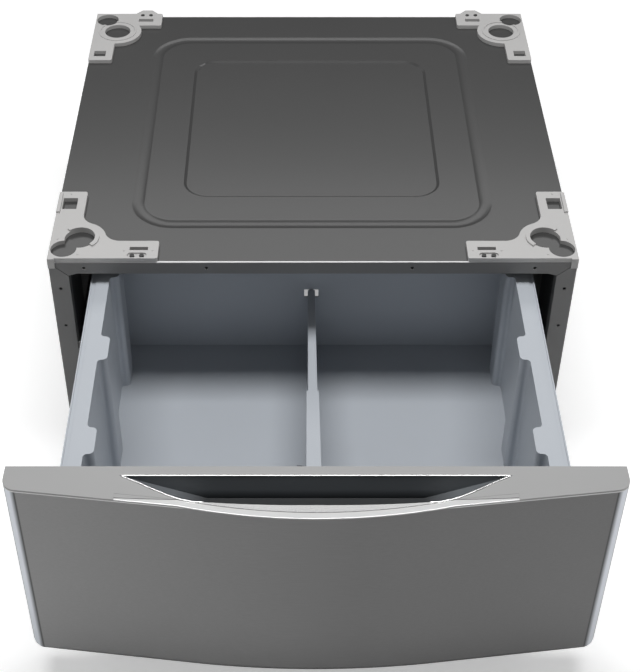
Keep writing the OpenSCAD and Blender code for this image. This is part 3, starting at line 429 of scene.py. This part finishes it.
# Faces on the skin's top fold take the bright metal, a painted highlight.
for face in skin.data.polygons:
    if face.normal.z > 0.3 and face.center.z > skin_top - highlight_drop and face.center.y < panel_y - face_depth:
        face.material_index = 1
seat(skin, "drawer", "front_skin", smooth=25)


# Top cap. A silver-painted moulding with the finger scoop under the grip lip; bright metal on the lip and
# the scoop's back edge is a painted highlight.
# The scoop is lined in smooth black, painted darker on its floor and lighter up its walls to even out light
# and shade, and a bright strip is let in along the front of the grip.
# A reach is how far a line stands in front of the front's back, at x from the middle.
lip_places = ((0.0, 0.047), (0.118, 0.049), (0.132, 0.0505), (0.15, 0.0475), (0.161, 0.0425),
              (0.178, 0.0335), (0.196, 0.0232), (0.216, 0.0135))
cad_half, cad_flat, cad_ledge, cad_front = 0.216, 0.118, 0.0135, 0.047
scoop_back, scoop_front, scoop_depth = 0.011, 0.058, 0.031
lining_light_grade = (0.029, 0.018)
lip_drop = 0.0105
top_drop = 0.0125
steep = 0.35
lining_room = 0.0025
highlight_inside = 0.0035
highlight_middle, highlight_flank = 0.0105, 0.0022
middle_half = 0.14


def cad_reach(x):
    share = max(0.0, (x - cad_flat) / (cad_half - cad_flat))
    return cad_ledge + (cad_front - cad_ledge) * math.cos(math.radians(90 * share))


def lip_reach(x):
    for (x0, y0), (x1, y1) in zip(lip_places, lip_places[1:]):
        if x <= x1:
            return y0 + (y1 - y0) * (x - x0) / (x1 - x0)
    return cad_ledge


cap = copied("top_cap")
cap_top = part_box("top_cap")[1][2]
for point in cap.data.vertices:
    x = abs(point.co.x)
    if x < cad_half - 0.0005 and point.co.z > cap_top - lip_drop:
        if abs(panel_y - point.co.y - cad_reach(x)) < 0.0016:
            point.co.y -= lip_reach(x) - cad_reach(x)
ease(cap, 0.0016, 3)
lining = Finish("scoop_lining", {"Coat Weight": 0.2, "Coat Roughness": 0.2})
film = lining.grain(0.05, 2.0, (0.3, 1, 1))
# Painted light and shade: the lining is darker on the scoop's floor, which the lamps light most, and
# lighter up its shaded walls.
depth = lining.between(lining.along(2), *(cap_top - drop for drop in lining_light_grade))
lining_floor_painted_dark = (0.009, 0.011, 0.013, 1.0)
lining_walls_painted_light = lining.mixed(film, (0.09, 0.1, 0.11, 1.0), (0.115, 0.125, 0.135, 1.0))
lining.set("Base Color", lining.mixed(depth, lining_floor_painted_dark, lining_walls_painted_light))
lining.set("Roughness", 0.4 + 0.08 * film)
coat(cap, moulding("cap_paint", grey(0.36), 0.34, sheen=0.2), lining.material, painted_highlight.material)
for face in cap.data.polygons:
    x = abs(face.center.x)
    back = panel_y - face.center.y
    drop = cap_top - face.center.z
    in_scoop = scoop_back < back < scoop_front and x < cad_half and drop < scoop_depth
    wall = face.normal.z < steep or drop > top_drop
    if in_scoop and wall and back < lip_reach(x) + lining_room:
        face.material_index = 1
    # The lip and the scoop's back edge take the bright metal: a painted highlight.
    outside = highlight_middle if x < middle_half else highlight_flank
    lip_highlight = lip_reach(x) - highlight_inside < back < lip_reach(x) + outside
    rear_highlight_line = near(back, cad_ledge, 0.0022) and face.normal.z < 0.97
    on_top = face.normal.z > steep and drop < top_drop
    if x < cad_half and on_top and (lip_highlight or rear_highlight_line):
        face.material_index = 2
seat(cap, "drawer", "top_cap", smooth=45)


# Trim strip. Brushed metal that follows the bow of the front. A dark line painted along its rear edge is
# painted shade for the gap to the cap, and it tapers out toward both ends.
strip = copied("handle_trim")
ease(strip, 0.0004)
bow_r = 1.18
bow_depth = 0.067
bow_y = panel_y - bow_depth + bow_r
taper_depth = 0.0082
taper_from, taper_to = 0.219, 0.15
trim = Finish("trim_metal")
sideways = trim.along(0)
forward = trim.along(1) - bow_y
inward = bow_r - (sideways * sideways + forward * forward).root()
taper = taper_depth * trim.between(sideways.size(), taper_from, taper_to)
paint = trim.between(inward - taper, 0.0007, 0.0009)
# Painted shade: a thin dark line where the gap to the cap would be.
painted_gap_shade = trim.between(inward - taper, -0.0001, 0.0001)
bright = trim.mixed(trim.grain(0.05), grey(0.68), grey(0.78))
trim.set("Base Color", trim.mixed(paint, trim.mixed(painted_gap_shade, bright, grey(0.05)), grey(0.36)))
trim.set("Metallic", 1 - painted_gap_shade)
trim.set("Roughness", 0.3 + 0.05 * trim.grain(0.002))
coat(strip, trim.material)
seat(strip, "drawer", "handle_trim", smooth=25)


# Bright bead. A narrow bead of bright metal along the scoop's edge is a painted highlight line; it runs
# straight along the back and forward round both flanks to the grip.
dip_r = 1.13
dip_half = 0.15
dip_depth = 0.01
bead_half = 0.213
bead_step = 0.005
bead_steps = 19


def highlight_bead(name, places, thick):
    bpy.ops.object.select_all(action="DESELECT")
    bpy.ops.curve.primitive_bezier_curve_add(location=(0, 0, 0))
    line = bpy.context.object
    line.name = name
    line.data.splines.clear()
    run = line.data.splines.new("POLY")
    run.points.add(len(places) - 1)
    for point, place in zip(run.points, places):
        point.co = (*place, 1.0)
    line.data.dimensions = "3D"
    line.data.bevel_depth = thick
    line.data.bevel_resolution = 3
    line.data.use_fill_caps = True
    bpy.ops.object.convert(target="MESH")
    # The bead's bright metal is a painted highlight.
    coat(line, painted_highlight.material)
    seat(line, "drawer")


def grip_z(x):
    """Height of the cap's top at x, which dips toward the middle of the grip."""
    if abs(x) >= dip_half:
        return cap_top
    return cap_top - max(0.0, math.sqrt(dip_r * dip_r - x * x) - (dip_r - dip_depth))


rear_y = panel_y - cad_ledge
rear_z = cap_top - 0.0005
highlight_bead("rear_highlight_bead", [(-bead_half, rear_y, rear_z), (bead_half, rear_y, rear_z)], 0.0009)
for side, name in ((-1, "left_highlight_bead"), (1, "right_highlight_bead")):
    steps = [bead_half - bead_step * k for k in range(bead_steps)]
    highlight_bead(name, [(side * x, panel_y - lip_reach(x), grip_z(x) - 0.0002) for x in steps], 0.0012)


# Studio. A pale floor that keeps the shadow, a soft world that is white behind the object,
# and large soft lamps in front and above.
world_light = 0.1
fade_near, fade_far = 0.9, 3.0
world = bpy.data.worlds.new("studio")
bpy.context.scene.world = world
world.use_nodes = True
tree = world.node_tree
background = tree.nodes["Background"]
rays = tree.nodes.new("ShaderNodeLightPath")
seen = tree.nodes.new("ShaderNodeMath")
seen.operation = "MAXIMUM"
tree.links.new(rays.outputs["Is Camera Ray"], seen.inputs[0])
tree.links.new(rays.outputs["Is Transmission Ray"], seen.inputs[1])
strength = tree.nodes.new("ShaderNodeMapRange")
strength.inputs["To Min"].default_value = world_light
strength.inputs["To Max"].default_value = 1.0
tree.links.new(seen.outputs[0], strength.inputs["Value"])
tree.links.new(strength.outputs["Result"], background.inputs["Strength"])
background.inputs["Color"].default_value = (1, 1, 1, 1)

bpy.ops.mesh.primitive_plane_add(size=12, location=(0, 0, 0))
floor = bpy.context.object
floor.name = "studio_floor"
floor_white = Finish("floor_white", {"Base Color": (0.92, 0.92, 0.92, 1), "Roughness": 0.9})
direct = floor_white.node("ShaderNodeLightPath")
far = floor_white.along(0) * floor_white.along(0) + floor_white.along(1) * floor_white.along(1)
white_out = floor_white.mixed(floor_white.between(far.root(), fade_near, fade_far), grey(0.40), grey(1.0))
floor_white.set("Emission Color", floor_white.mixed(direct, (0, 0, 0, 1), white_out))
floor_white.set("Emission Strength", 1.0)
floor.data.materials.append(floor_white.material)


def lamp(name, place, aim, wide, tall, power):
    data = bpy.data.lights.new(name, "AREA")
    data.shape = "RECTANGLE"
    data.size = wide
    data.size_y = tall
    data.energy = power
    made = bpy.data.objects.new(name, data)
    made.location = place
    made.rotation_euler = (Vector(aim) - Vector(place)).to_track_quat("-Z", "Y").to_euler()
    made.visible_camera = False
    bpy.context.scene.collection.objects.link(made)


lamp("overhead_lamp", (0, -0.45, 2.7), (0, -0.55, 0), 2.4, 0.7, 56)
lamp("back_lamp", (0, 2.7, 3.1), (0, 0.0, 0.3), 3.2, 1.2, 22)
lamp("front_lamp", (0, -3.2, 1.8), (0, -0.7, 0.2), 2.4, 1.0, 4)
lamp("left_lamp", (-2.3, -0.9, 0.9), (-0.3, -0.7, 0.2), 0.7, 1.4, 5)
lamp("right_lamp", (2.3, -0.9, 0.9), (0.3, -0.7, 0.2), 0.7, 1.4, 5)
